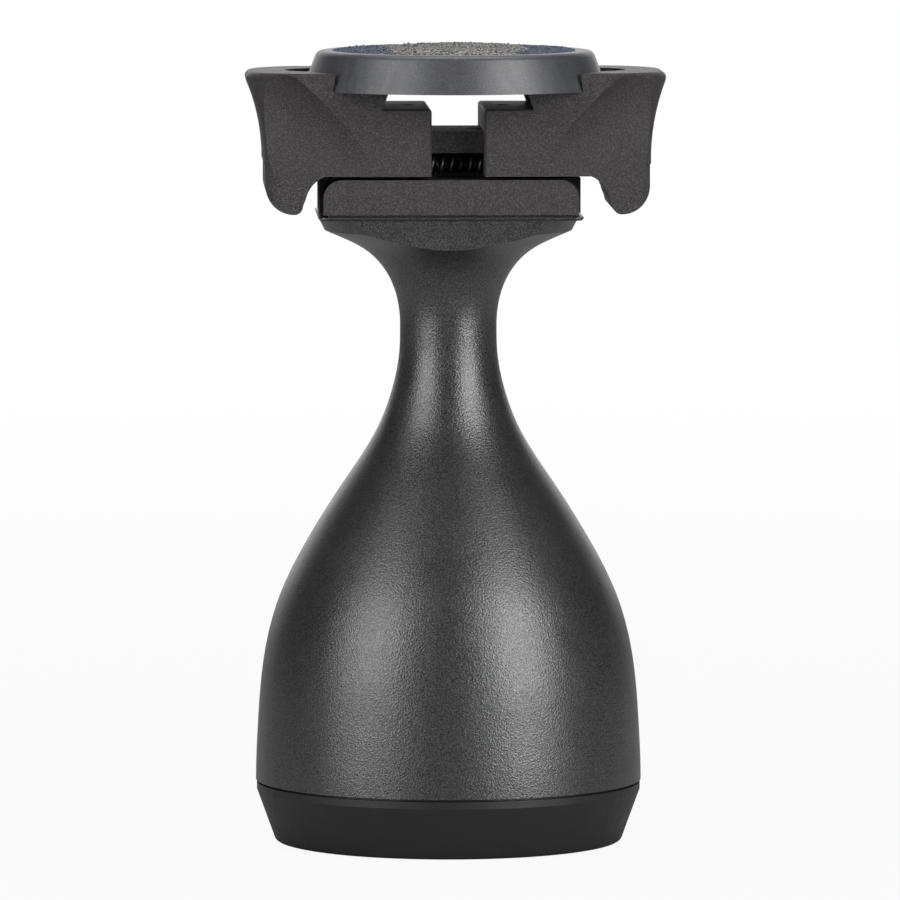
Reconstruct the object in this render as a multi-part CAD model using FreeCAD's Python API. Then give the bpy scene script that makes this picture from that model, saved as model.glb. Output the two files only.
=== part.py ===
import FreeCAD, Part
import math
import os

from FreeCAD import Matrix, Vector

# Miniature painting handle, in millimetres.
# +Z is up, X runs along the clamp's rail, -Y is the front.
# The origin is the middle of the foot, on the surface that the handle stands on.

# ---- the round miniature base held in the clamp ----
base_radius = 16.0
base_height = 4.0
base_lean = 21.0
base_wall = 1.5
base_top_wall = 1.6
base_edge_round = 0.8
base_clearance = 0.12

# ---- the grip ----
seam_height = 6.5
neck_height = 54.0
flange_height = 66.25
lip_thickness = 0.35
rim_band = 1.45
belly_radius = 20.33
neck_radius = 5.08
grip_wall = 2.5
socket_depth = 17.25
neck_floor = 2.8
flange_low_radius = 13.0
flange_rim_radius = 13.75
flange_flat_depth = 18.8
flange_width = 27.65
flange_depth = 19.4
lip_corner_round = 0.9
lip_edge_bevel = 0.2
# share of the height from seam to neck, share of the swell from neck to belly
grip_outline = [
    (0.00, 0.998),
    (0.13, 0.983),
    (0.26, 0.947),
    (0.40, 0.841),
    (0.53, 0.645),
    (0.66, 0.392),
    (0.80, 0.128),
    (0.93, 0.012),
    (1.00, 0.000),
]
# share of the height from neck to ridge, share of the swell from neck to ridge
flange_outline = [
    (0.00, 0.000),
    (0.29, 0.032),
    (0.49, 0.119),
    (0.70, 0.307),
    (0.80, 0.460),
    (0.90, 0.698),
    (1.00, 1.000),
]

# ---- the base cap and what it holds ----
seam_step = 0.13
cap_band_height = 1.0
cap_lean_in = 2.0
cap_foot_round = 0.6
cap_floor = 2.2
cap_wall = 2.4
cap_groove = 0.25
plug_height = 2.4
plug_wall = 1.3
plug_clearance = 0.1
plug_side_clearance = 0.2
ballast_radius = 11.4
ballast_height = 6.5
ballast_chamfer = 0.6
ballast_cup_wall = 1.2
ballast_cup_height = 3.0
cap_screw_count = 3
cap_screw_inset = 2.63
cap_screw_shank_radius = 1.0
cap_screw_length = 10.0
cap_screw_head_radius = 1.9
cap_screw_head_height = 1.3
cap_screw_recess = 0.4
screw_post_radius = 2.4
screw_post_height = 8.0
post_web = 1.2
screw_head_room = 0.2
cross_slot_width = 0.5
cut_spare = 1.0
thread_clearance = 0.02
# shares of a screw's own head and shank
head_round_share = 0.45
cross_width_share = 1.1
cross_depth_share = 0.55
point_length_share = 0.5
point_tip_share = 0.45

# ---- the neck screw, its washer and its insert ----
neck_screw_radius = 1.5
neck_screw_length = 14.0
neck_screw_head_radius = 2.6
neck_screw_head_height = 1.8
neck_hole_radius = 1.7
washer_radius = 3.2
washer_thickness = 0.5
washer_clearance = 0.1
insert_radius = 2.1
insert_length = 6.0
insert_groove_depth = 0.3
insert_groove_length = 1.2
spigot_radius = 3.0
spigot_clearance = 0.05
spigot_end_gap = 0.3

# ---- the head block ----
block_height = 3.9
block_width = 27.3
block_core_depth = 11.0
cheek_width = 26.6
cheek_corner_round = 1.9
head_depth = 19.0
shadow_gap = 0.25
shadow_depth = 0.5
key_width = 12.0
key_depth = 10.0
key_height = 1.8
key_clearance = 0.1

# ---- the slide rail ----
rail_foot_depth = 1.0
rail_web_thickness = 4.0
rail_bar_depth = 12.0
rail_bar_thickness = 2.3
rail_gap_under_bar = 2.65
rail_screw_spacing = 17.0
rail_screw_radius = 0.9
rail_screw_length = 4.9
rail_screw_head_radius = 1.8
rail_screw_head_height = 1.1
rail_seat_clearance = 0.03
stop_reach = 9.7
stop_groove_depth = 1.3
stop_groove_inner = 2.6

# ---- the jaws, measured from the centre line of the pair ----
jaw_shift = 0.7
jaw_gap = 5.5
jaw_over_block = 0.35
jaw_over_rail = 0.1
ledge_roof = 2.35
ledge_step = 1.75
ear_rise = 1.95
lower_recess_radius = 12.2
lower_wall_lean = 13.0
upper_wall_lean = 7.0
ledge_corner_round = 0.35
face_edge_bevel = 0.2
slide_clearance = 0.05
rail_room = 15.6
spring_channel = 2.55
hook_reach = 20.2
hook_tip_at = 17.05
hook_drop = 3.95
hook_round = 3.0
hook_inner_round = 0.9
hook_root_at = 13.9
hook_root_width = 1.95
hook_root_drop = 2.3
hook_root_bulge = 0.38
hook_corner_round = 1.7
flare_start = 1.2
flare_radius = 22.5
ear_corner_along = 5.6
ear_corner_across = 8.2
ear_roll_drop = 1.05
ear_roll_in = 1.3
ear_spare = 4.0
scoop_radius = 7.5
scoop_depth = 1.7
scoop_outer_at = 18.5
scoop_outer_drop = 5.3
scoop_inner_at = 9.9
scoop_inner_drop = 10.5
notch_radius = 4.3
notch_at = 13.6
notch_depth = 3.6
stop_screw_at = 5.0
stop_screw_radius = 0.8
stop_tip_clearance = 0.15
stop_screw_sink = 0.2
stop_slot_width = 0.4
stop_slot_depth = 0.6
stop_end_room = 0.1
stop_groove_side_clearance = 0.06
peg_at = 9.0
peg_radius = 0.5
peg_web_clearance = 0.25

# ---- the clamp springs ----
spring_radius = 0.8
spring_wire = 0.4
spring_pitch = 1.0
spring_hook_room = 2.1

# ---- how close two places count as the same when edges are picked ----
same_level = 1e-5
same_place = 1e-3

# ---- heights that follow from the sizes above ----
diagonal = math.sqrt(0.5)
flange_rim_height = flange_height - lip_thickness
flange_low_height = flange_rim_height - rim_band
socket_floor_height = flange_height - socket_depth
grip_cavity_height = socket_floor_height - neck_floor
cap_radius = belly_radius - seam_step
cap_foot_radius = cap_radius - cap_lean_in
cap_screw_circle = belly_radius - grip_wall - cap_screw_inset
block_top = flange_height + block_height
bar_low = block_top + rail_gap_under_bar
bar_top = bar_low + rail_bar_thickness
jaw_low = block_top + jaw_over_block
lower_ledge = bar_top + jaw_over_rail + ledge_roof
upper_ledge = lower_ledge + ledge_step
ear_top = upper_ledge + ear_rise
stop_drop = stop_groove_depth - stop_tip_clearance
rail_screw_seat = flange_height + rail_screw_head_height + screw_head_room
spring_height = (block_top + bar_low) / 2
spring_side = rail_web_thickness / 2 + spring_channel / 2
right_travel = stop_reach - (stop_screw_at + jaw_shift)
left_travel = stop_reach - (stop_screw_at - jaw_shift)


def cylinder(radius, height, x=0.0, y=0.0, z=0.0):
    return Part.makeCylinder(radius, height, Vector(x, y, z))


def ring(outer, inner, height, z):
    return cylinder(outer, height, z=z).cut(cylinder(inner, height, z=z))


def slab(x_low, x_high, y_low, y_high, z_low, z_high):
    size = (x_high - x_low, y_high - y_low, z_high - z_low)
    return Part.makeBox(*size, Vector(x_low, y_low, z_low))


def centred_slab(width, depth, z_low, z_high):
    return slab(-width / 2, width / 2, -depth / 2, depth / 2, z_low, z_high)


def turned(wire):
    return Part.Face(wire).revolve(Vector(0, 0, 0), Vector(0, 0, 1), 360)


def fused(pieces):
    whole = pieces[0]
    for piece in pieces[1:]:
        whole = whole.fuse(piece)
    return whole.removeSplitter()


def level_edges(shape, z):
    """The edges that lie flat at a height."""
    found = []
    for edge in shape.Edges:
        box = edge.BoundBox
        if abs(box.ZMin - z) < same_level and abs(box.ZMax - z) < same_level:
            found.append(edge)
    return found


def cross_recess(width, depth, z):
    bar = centred_slab(width, cross_slot_width, z, z + depth)
    return bar.fuse(centred_slab(cross_slot_width, width, z, z + depth))


def screw(shank_radius, shank_length, head_radius, head_height, seat_z):
    """A screw pointing up whose head hangs below its seat."""
    low = seat_z - head_height
    head = cylinder(head_radius, head_height, z=low)
    head = head.makeFillet(head_height * head_round_share, level_edges(head, low))
    head = head.cut(cross_recess(head_radius * cross_width_share, head_height * cross_depth_share, low))
    point_length = shank_radius * point_length_share
    point_z = seat_z + shank_length - point_length
    shank = cylinder(shank_radius, shank_length - point_length, z=seat_z)
    tip_radius = shank_radius * point_tip_share
    point = Part.makeCone(shank_radius, tip_radius, point_length, Vector(0, 0, point_z))
    return fused([head, shank, point])


# ---- grip ----

def grip_points(inset):
    swell = belly_radius - neck_radius
    rise = neck_height - seam_height
    points = []
    for at, share in grip_outline:
        points.append(Vector(neck_radius + share * swell - inset, 0, seam_height + at * rise))
    return points


def grip_bulb(inset):
    """The turned bulb from the seam to the neck, whole or a wall's thickness inside."""
    points = grip_points(inset)
    upright = Vector(0, 0, 1)
    curve = Part.BSplineCurve()
    curve.interpolate(Points=points, InitialTangent=upright, FinalTangent=upright)
    neck_centre = Vector(0, 0, neck_height)
    seam_centre = Vector(0, 0, seam_height)
    closing = [
        Part.makeLine(points[-1], neck_centre),
        Part.makeLine(neck_centre, seam_centre),
        Part.makeLine(seam_centre, points[0]),
    ]
    return turned(Part.Wire([curve.toShape()] + closing))


def grip_cavity():
    """The hollow of the bulb, with a flat top under the neck."""
    depth = grip_cavity_height - seam_height
    return grip_bulb(grip_wall).common(cylinder(belly_radius, depth, z=seam_height))


def grip_flange():
    """The round neck opens like a trumpet, is cut flat front and back, and ends in an oblong lip."""
    swell = flange_low_radius - neck_radius
    rise = flange_low_height - neck_height
    points = []
    for at, share in flange_outline:
        points.append(Vector(neck_radius + share * swell, 0, neck_height + at * rise))
    curve = Part.BSplineCurve()
    curve.interpolate(points)
    rim_centre = Vector(0, 0, flange_rim_height)
    neck_centre = Vector(0, 0, neck_height)
    rim = Vector(flange_rim_radius, 0, flange_rim_height)
    closing = [
        Part.makeLine(points[-1], rim),
        Part.makeLine(rim, rim_centre),
        Part.makeLine(rim_centre, neck_centre),
        Part.makeLine(neck_centre, points[0]),
    ]
    trumpet = turned(Part.Wire([curve.toShape()] + closing))
    trumpet = trumpet.common(centred_slab(flange_width, flange_flat_depth, neck_height, flange_rim_height))
    lip = centred_slab(flange_width, flange_depth, flange_rim_height, flange_height)
    uprights = [edge for edge in lip.Edges if edge.BoundBox.ZLength > lip_edge_bevel]
    lip = lip.makeFillet(lip_corner_round, uprights)
    lip = lip.makeChamfer(lip_edge_bevel, level_edges(lip, flange_rim_height))
    return fused([trumpet, lip])


def facing_outward(shape, place):
    """Turn a shape made along +X so that it points away from the axis at a place."""
    shape.rotate(Vector(0, 0, 0), Vector(0, 0, 1), math.degrees(math.atan2(place.y, place.x)))
    shape.translate(place)
    return shape


def cap_screw_places():
    places = []
    for index in range(cap_screw_count):
        angle = math.radians(90 + 360 * index / cap_screw_count)
        places.append(Vector(cap_screw_circle * math.cos(angle), cap_screw_circle * math.sin(angle), 0))
    return places


def grip_shell():
    body = fused([grip_bulb(0.0), grip_flange()]).cut(grip_cavity())
    post_top = seam_height + screw_post_height
    web_length = belly_radius - grip_wall / 2 - cap_screw_circle
    pilot = cap_screw_shank_radius + thread_clearance
    for place in cap_screw_places():
        post = cylinder(screw_post_radius, screw_post_height, place.x, place.y, seam_height)
        web = slab(0, web_length, -post_web / 2, post_web / 2, seam_height, post_top)
        body = fused([body, post, facing_outward(web, place)])
        body = body.cut(cylinder(pilot, screw_post_height - pilot, place.x, place.y, seam_height))
    body = body.cut(cylinder(neck_hole_radius, flange_height, z=grip_cavity_height))
    socket_radius = spigot_radius + spigot_clearance
    socket = cylinder(socket_radius, flange_height - socket_floor_height, z=socket_floor_height)
    pocket_width = key_width + 2 * key_clearance
    pocket_depth = key_depth + 2 * key_clearance
    pocket_floor = flange_height - key_height - key_clearance
    pocket = centred_slab(pocket_width, pocket_depth, pocket_floor, flange_height)
    return body.cut(socket).cut(pocket)


# ---- base cap ----

def cap_outline():
    """Half the cap's section: a flat foot, a leaning side, an upright band and a groove at the seam."""
    band_low = seam_height - cap_band_height
    groove_low = seam_height - cap_groove
    groove_radius = cap_radius - 2 * cap_groove
    corners = [
        Vector(0, 0, 0),
        Vector(cap_foot_radius, 0, 0),
        Vector(cap_radius, 0, band_low),
        Vector(cap_radius, 0, groove_low),
        Vector(groove_radius, 0, groove_low),
        Vector(groove_radius, 0, seam_height),
        Vector(0, 0, seam_height),
        Vector(0, 0, 0),
    ]
    return Part.makePolygon(corners)


def base_cap():
    """A cup with a plug ring that enters the grip, a cup for the ballast and three screw posts."""
    body = turned(cap_outline())
    body = body.makeFillet(cap_foot_round, level_edges(body, 0.0))
    hollow_low = cap_foot_radius - cap_wall
    hollow_high = cap_radius - cap_wall - 2 * cap_groove
    body = body.cut(Part.makeCone(hollow_low, hollow_high, seam_height - cap_floor, Vector(0, 0, cap_floor)))
    mouth = belly_radius - grip_wall - plug_side_clearance
    plug = ring(mouth, mouth - plug_wall, seam_height + plug_height - cap_floor, cap_floor)
    cup_radius = ballast_radius + thread_clearance
    cup = ring(cup_radius + ballast_cup_wall, cup_radius, ballast_cup_height, cap_floor)
    body = fused([body, plug, cup])
    post_room = screw_post_radius + plug_clearance
    web_room = post_web / 2 + plug_clearance
    plug_top = seam_height + plug_height
    head_room = cap_screw_recess + cap_screw_head_height
    for place in cap_screw_places():
        body = body.cut(cylinder(post_room, plug_height, place.x, place.y, seam_height))
        web = slab(0, belly_radius - cap_screw_circle, -web_room, web_room, seam_height, plug_top)
        body = body.cut(facing_outward(web, place))
        body = body.fuse(cylinder(screw_post_radius, seam_height - cap_floor, place.x, place.y, cap_floor))
        head = cylinder(cap_screw_head_radius + screw_head_room, head_room, place.x, place.y)
        body = body.cut(head)
        body = body.cut(cylinder(cap_screw_shank_radius + plug_clearance, seam_height, place.x, place.y))
    return body.cut(cylinder(cup_radius, ballast_height, z=cap_floor)).removeSplitter()


def ballast_weight():
    body = cylinder(ballast_radius, ballast_height, z=cap_floor)
    rims = level_edges(body, cap_floor) + level_edges(body, cap_floor + ballast_height)
    return body.makeChamfer(ballast_chamfer, rims)


def cap_screw(place):
    head_seat = cap_screw_recess + cap_screw_head_height
    head = (cap_screw_head_radius, cap_screw_head_height)
    body = screw(cap_screw_shank_radius, cap_screw_length, *head, head_seat)
    body.translate(place)
    return body


# ---- neck fastening ----

def neck_washer():
    hole = neck_screw_radius + washer_clearance
    return ring(washer_radius, hole, washer_thickness, grip_cavity_height - washer_thickness)


def neck_screw():
    seat = grip_cavity_height - washer_thickness
    return screw(neck_screw_radius, neck_screw_length, neck_screw_head_radius, neck_screw_head_height, seat)


def thread_insert():
    low = socket_floor_height + spigot_end_gap
    body = ring(insert_radius, neck_screw_radius + thread_clearance, insert_length, low)
    groove_root = insert_radius - insert_groove_depth
    groove_low = low + (insert_length - insert_groove_length) / 2
    groove = ring(insert_radius + cut_spare, groove_root, insert_groove_length, groove_low)
    return body.cut(groove)


# ---- head block ----

def cheek(side):
    """A proud front or back panel of the block, its upper corners rounded in front view."""
    core_face = block_core_depth / 2
    depth = head_depth / 2 - core_face
    panel = centred_slab(cheek_width, depth, flange_height, block_top)
    panel.translate(Vector(0, side * (core_face + depth / 2), 0))
    corners = []
    for edge in panel.Edges:
        box = edge.BoundBox
        if box.YLength > depth / 2 and box.ZMin > block_top - same_level:
            corners.append(edge)
    return panel.makeFillet(cheek_corner_round, corners)


def head_block():
    core = centred_slab(block_width, block_core_depth, flange_height, block_top)
    key = centred_slab(key_width, key_depth, flange_height - key_height, flange_height)
    low = socket_floor_height + spigot_end_gap
    spigot = cylinder(spigot_radius, flange_height - low, z=low)
    body = fused([core, cheek(-1), cheek(1), key, spigot])
    beyond_width = block_width + 2 * cut_spare
    beyond_depth = head_depth + 2 * cut_spare
    rebate = centred_slab(beyond_width, beyond_depth, flange_height, flange_height + shadow_gap)
    kept_width = cheek_width - 2 * shadow_depth
    kept_depth = head_depth - 2 * shadow_depth
    kept = centred_slab(kept_width, kept_depth, flange_height, flange_height + shadow_gap)
    body = body.cut(rebate.cut(kept))
    foot_width = rail_web_thickness + 2 * rail_seat_clearance
    body = body.cut(centred_slab(beyond_width, foot_width, block_top - rail_foot_depth, block_top))
    body = body.cut(cylinder(insert_radius + thread_clearance, insert_length, z=low))
    screw_end = grip_cavity_height - washer_thickness + neck_screw_length
    body = body.cut(cylinder(neck_hole_radius, screw_end + spigot_end_gap - low, z=low))
    head_room = rail_screw_head_radius + screw_head_room
    for side in (-1, 1):
        x = side * rail_screw_spacing / 2
        body = body.cut(cylinder(head_room, rail_screw_seat - flange_height, x, 0, flange_height))
        body = body.cut(cylinder(rail_screw_radius + plug_clearance, block_height, x, 0, flange_height))
    return body.removeSplitter()


# ---- slide rail ----

def slide_rail():
    """An upside-down T: its foot sits in the block's slot, its bar guides the jaws."""
    web = centred_slab(block_width, rail_web_thickness, block_top - rail_foot_depth, bar_low)
    bar = centred_slab(block_width, rail_bar_depth, bar_low, bar_top)
    body = fused([web, bar])
    half_groove = stop_screw_radius + stop_groove_side_clearance
    for side in (-1, 1):
        near = side * stop_groove_inner
        far = side * (stop_reach + stop_end_room)
        low = bar_top - stop_groove_depth
        groove = slab(min(near, far), max(near, far), -half_groove, half_groove, low, bar_top)
        groove = groove.fuse(cylinder(half_groove, stop_groove_depth, near, 0, low))
        groove = groove.fuse(cylinder(half_groove, stop_groove_depth, far, 0, low))
        body = body.cut(groove)
        x = side * rail_screw_spacing / 2
        pilot_low = block_top - rail_foot_depth
        pilot_length = rail_screw_seat + rail_screw_length + spigot_end_gap - pilot_low
        body = body.cut(cylinder(rail_screw_radius + thread_clearance, pilot_length, x, 0, pilot_low))
    return body.removeSplitter()


def rail_screw(side):
    head = (rail_screw_head_radius, rail_screw_head_height)
    body = screw(rail_screw_radius, rail_screw_length, *head, rail_screw_seat)
    body.translate(Vector(side * rail_screw_spacing / 2, 0, 0))
    return body


# ---- jaws ----

def front_point(at, z):
    return Vector(at, -head_depth / 2, z)


def line(start, end):
    return Part.makeLine(start, end)


def arc(start, middle, end):
    return Part.Arc(start, middle, end).toShape()


def flare_reach(z):
    """How far the ear leans out at a height: one large arc that starts upright."""
    rise = max(0.0, z - (jaw_low + flare_start))
    return hook_reach + flare_radius - math.sqrt(flare_radius ** 2 - rise ** 2)


def jaw_blank():
    """The side view of a jaw, from its inner end out to the finger hook."""
    tip_low = jaw_low - hook_drop
    root = front_point(hook_root_at, jaw_low)
    slope_start = front_point(hook_root_at + hook_root_width, jaw_low - hook_root_drop)
    chord = slope_start - root
    outward = Vector(-chord.z, 0, chord.x)
    outward.normalize()
    root_middle = root + chord * 0.5 + outward * hook_root_bulge
    inner = hook_inner_round
    tip = front_point(hook_tip_at, tip_low)
    slope_end = front_point(hook_tip_at - inner, tip_low + inner)
    tip_middle = front_point(hook_tip_at - diagonal * inner, tip_low + (1 - diagonal) * inner)
    turn_centre_z = tip_low + hook_round
    turn_reach = diagonal * hook_round
    turn_middle = front_point(hook_tip_at + turn_reach, turn_centre_z - turn_reach)
    side_low = front_point(hook_tip_at + hook_round, turn_centre_z)
    side_high = front_point(hook_tip_at + hook_round, jaw_low + flare_start)
    beyond_low = front_point(hook_reach + ear_spare, jaw_low + flare_start + ear_spare)
    beyond_high = front_point(hook_reach + ear_spare, ear_top + cut_spare)
    inner_top = front_point(jaw_gap / 2, ear_top + cut_spare)
    inner_low = front_point(jaw_gap / 2, jaw_low)
    outline = [
        line(inner_low, root),
        arc(root, root_middle, slope_start),
        line(slope_start, slope_end),
        arc(slope_end, tip_middle, tip),
        arc(tip, turn_middle, side_low),
        line(side_low, side_high),
        line(side_high, beyond_low),
        line(beyond_low, beyond_high),
        line(beyond_high, inner_top),
        line(inner_top, inner_low),
    ]
    return Part.Face(Part.Wire(outline)).extrude(Vector(0, head_depth, 0))


def plan_section(z, reach, along, across):
    """A jaw seen from above at one height: square at the inner end, rounded corners outside."""
    half = head_depth / 2
    start = Vector(0, -half, z)
    bend_in = Vector(reach - along, -half, z)
    bend_out = Vector(reach, -half + across, z)
    middle = Vector(reach - along * (1 - diagonal), -half + across * (1 - diagonal), z)
    flip = Matrix()
    flip.scale(1, -1, 1)
    near = [line(start, bend_in), arc(bend_in, middle, bend_out)]
    far = [
        arc(flip.multVec(bend_out), flip.multVec(middle), flip.multVec(bend_in)),
        line(flip.multVec(bend_in), flip.multVec(start)),
        line(flip.multVec(start), start),
    ]
    return Part.Wire(near + [line(bend_out, flip.multVec(bend_out))] + far)


def ear_section(z, drawn_in):
    """The ear seen from above at one height, its outer end drawn in and its front line left alone."""
    start = jaw_low + flare_start
    share = (z - start) / (ear_top - start)
    along = hook_corner_round + (ear_corner_along - hook_corner_round) * share
    across = hook_corner_round + (ear_corner_across - hook_corner_round) * share
    return plan_section(z, flare_reach(z) - drawn_in, along - drawn_in, across)


def jaw_envelope():
    """Upright sides round the hook, then an ear that widens and rolls in at its outer top edge."""
    start = jaw_low + flare_start
    low = jaw_low - hook_drop - cut_spare
    square = plan_section(low, hook_reach, hook_corner_round, hook_corner_round)
    prism = Part.Face(square).extrude(Vector(0, 0, start - low))
    roll_low = ear_top - ear_roll_drop
    widening = []
    for share in (0.0, 0.25, 0.5, 0.75, 1.0):
        widening.append(ear_section(start + share * (roll_low - start), 0.0))
    rolling = []
    for degrees in (0, 25, 50, 70, 90):
        angle = math.radians(degrees)
        z = roll_low + ear_roll_drop * math.sin(angle)
        rolling.append(ear_section(z, ear_roll_in * (1 - math.cos(angle))))
    ear = Part.makeLoft(widening, True, False)
    roll = Part.makeLoft(rolling, True, False)
    return fused([prism, ear, roll])


def scoop(side):
    """A shallow diagonal finger scoop that fades out towards the middle of the head."""
    face = side * head_depth / 2
    outer = Vector(scoop_outer_at, face + side * (scoop_radius - scoop_depth), ear_top - scoop_outer_drop)
    inner = Vector(scoop_inner_at, face + side * scoop_radius, ear_top - scoop_inner_drop)
    direction = outer - inner
    direction.normalize()
    start = inner - direction * ear_spare
    return Part.makeCylinder(scoop_radius, hook_reach + ear_spare, start, direction)


def face_edges(body):
    """The front and back edges of the inner end and of the lower ledge."""
    edges = []
    for edge in body.Edges:
        box = edge.BoundBox
        on_face = box.YLength < same_place and abs(box.YMax) > head_depth / 2 - same_place
        inner_end = box.XMax < jaw_gap / 2 + ledge_corner_round + same_place and box.ZMin < lower_ledge
        ledge = abs(box.ZMin - lower_ledge) < same_place and box.ZLength < same_place
        if on_face and (inner_end or ledge):
            edges.append(edge)
    return edges


def recess(radius, z, depth, wall_lean):
    """A round seat whose wall leans in a little over the base that it holds."""
    lean = math.tan(math.radians(wall_lean))
    low = radius + base_clearance
    return Part.makeCone(low, low - lean * depth, depth, Vector(0, 0, z))


def rail_slot():
    """The T-shaped slot that the jaw slides on, open at the inner end."""
    half_bar = rail_bar_depth / 2 + slide_clearance
    half_channel = rail_web_thickness / 2 + spring_channel
    bar_room = slab(0, rail_room, -half_bar, half_bar, bar_low - slide_clearance, bar_top + jaw_over_rail)
    channel = slab(0, rail_room, -half_channel, half_channel, jaw_low - cut_spare, bar_low)
    return bar_room.fuse(channel)


def spring_peg(side):
    """A peg on the lip's inner side that a spring's loop hangs on."""
    outer = rail_web_thickness / 2 + spring_channel
    inner = rail_web_thickness / 2 + peg_web_clearance
    root = peg_radius
    peg = Part.makeCylinder(peg_radius, outer - inner + root, Vector(0, 0, 0), Vector(0, 1, 0))
    peg.translate(Vector(peg_at, inner, spring_height))
    if side < 0:
        peg = peg.mirror(Vector(0, 0, 0), Vector(0, 1, 0))
    return peg


def right_jaw_centred():
    body = jaw_blank().common(jaw_envelope())
    for side in (-1, 1):
        body = body.cut(scoop(side))
    body = body.cut(recess(base_radius, upper_ledge, ear_rise + cut_spare, upper_wall_lean))
    body = body.cut(recess(lower_recess_radius, lower_ledge, ledge_step, lower_wall_lean))
    inner_corner = []
    for edge in level_edges(body, lower_ledge):
        if edge.BoundBox.XMax < jaw_gap / 2 + same_place:
            inner_corner.append(edge)
    body = body.makeFillet(ledge_corner_round, inner_corner)
    body = body.makeChamfer(face_edge_bevel, face_edges(body))
    body = body.cut(cylinder(notch_radius, notch_depth, notch_at, 0, ear_top - notch_depth))
    body = body.cut(rail_slot())
    body = fused([body, spring_peg(-1), spring_peg(1)])
    hole = cylinder(stop_screw_radius + thread_clearance, ledge_roof + cut_spare, stop_screw_at, 0, bar_top)
    return body.cut(hole)


def mirrored(shape):
    return shape.mirror(Vector(0, 0, 0), Vector(1, 0, 0))


def placed_jaw(side, body):
    body = body.copy() if side > 0 else mirrored(body)
    body.translate(Vector(jaw_shift, 0, 0))
    return body


def stop_screw(side):
    """A headless screw through the ledge; its end runs in the rail's groove."""
    low = bar_top - stop_drop
    high = lower_ledge - stop_screw_sink
    body = cylinder(stop_screw_radius, high - low, z=low)
    slot = centred_slab(stop_screw_radius * 3, stop_slot_width, high - stop_slot_depth, high)
    body = body.cut(slot)
    body.translate(Vector(side * stop_screw_at + jaw_shift, 0, 0))
    return body


# ---- springs ----

def bent(start, heading, end):
    """The arc that leaves start along heading and arrives at end."""
    chord = end - start
    along = Vector(chord)
    along.normalize()
    lift = heading - along * heading.dot(along)
    if lift.Length < 1e-9:
        return Part.makeLine(start, end)
    half = math.acos(max(-1.0, min(1.0, heading.dot(along)))) / 2
    lift.normalize()
    return arc(start, start + chord * 0.5 + lift * (chord.Length / 2 * math.tan(half)), end)


def two_arcs(start, leaving, end, arriving):
    """Two arcs that join two points with given headings and share one tangent."""
    span = end - start
    turn = leaving + arriving
    reach = span.dot(turn)
    square = 2 * (1 - leaving.dot(arriving))
    if square < 1e-9:
        pull = span.dot(span) / (2 * reach)
    else:
        pull = (-reach + math.sqrt(reach ** 2 + square * span.dot(span))) / square
    meet = (start + leaving * pull + end - arriving * pull) * 0.5
    heading = (end - arriving * pull) - (start + leaving * pull)
    heading.normalize()
    return [bent(start, leaving, meet), bent(meet, heading, end)]


def helix_point(turns, first):
    """A point on the coil and its heading, for a coil along +X centred on the X axis."""
    angle = 2 * math.pi * turns
    across = spring_radius * math.cos(angle)
    up = spring_radius * math.sin(angle)
    place = Vector(first + spring_pitch * turns, -across, up)
    heading = Vector(spring_pitch / (2 * math.pi), up, across)
    heading.normalize()
    return place, heading


def spring_stations(length):
    """Points and headings along the wire, from one end loop through the coil to the other."""
    count = math.floor((length - 2 * spring_hook_room) / spring_pitch)
    first = (length - count * spring_pitch) / 2
    stations = [
        (Vector(spring_radius * diagonal, 0, -spring_radius * diagonal), Vector(-diagonal, 0, -diagonal)),
        (Vector(0, 0, -spring_radius), Vector(-1, 0, 0)),
        (Vector(-spring_radius, 0, 0), Vector(0, 0, 1)),
        (Vector(0, 0, spring_radius), Vector(1, 0, 0)),
    ]
    for step in range(2 * count + 1):
        stations.append(helix_point(step / 2, first))
    tail = []
    for place, heading in stations[:4]:
        tail.append((Vector(length - place.x, place.y, -place.z), Vector(heading.x, -heading.y, heading.z)))
    return stations + tail[::-1]


def least_gap(edges):
    """The smallest distance between parts of the wire that are not neighbours along it."""
    points = []
    travel = []
    run = 0.0
    for edge in edges:
        for place in edge.discretize(7)[:-1]:
            if points:
                run += (place - points[-1]).Length
            points.append(place)
            travel.append(run)
    apart = math.pi * spring_radius
    best = 1e9
    for i, place in enumerate(points):
        for j in range(i + 1, len(points)):
            if travel[j] - travel[i] > apart:
                best = min(best, (points[j] - place).Length)
    return best - spring_wire


def clamp_spring(side):
    length = 2 * peg_at
    stations = spring_stations(length)
    edges = []
    for (start, leaving), (end, arriving) in zip(stations, stations[1:]):
        edges += two_arcs(start, leaving, end, arriving)
    gap = least_gap(edges)
    print("spring: least gap between its turns and loops %.2f mm" % gap)
    first_edge = edges[0]
    heading = first_edge.tangentAt(first_edge.FirstParameter)
    profile = Part.Wire(Part.makeCircle(spring_wire / 2, stations[0][0], heading))
    body = Part.Wire(edges).makePipeShell([profile], True, False)
    body.translate(Vector(jaw_shift - peg_at, side * spring_side, spring_height))
    return body


# ---- the miniature base ----

def miniature_base():
    lean = math.tan(math.radians(base_lean))
    foot = Vector(0, 0, upper_ledge)
    body = Part.makeCone(base_radius, base_radius - lean * base_height, base_height, foot)
    body = body.makeFillet(base_edge_round, level_edges(body, upper_ledge + base_height))
    inner = base_radius - base_wall
    depth = base_height - base_top_wall
    body = body.cut(Part.makeCone(inner, inner - lean * depth, depth, foot))
    body.translate(Vector(jaw_shift, 0, 0))
    return body


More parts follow.
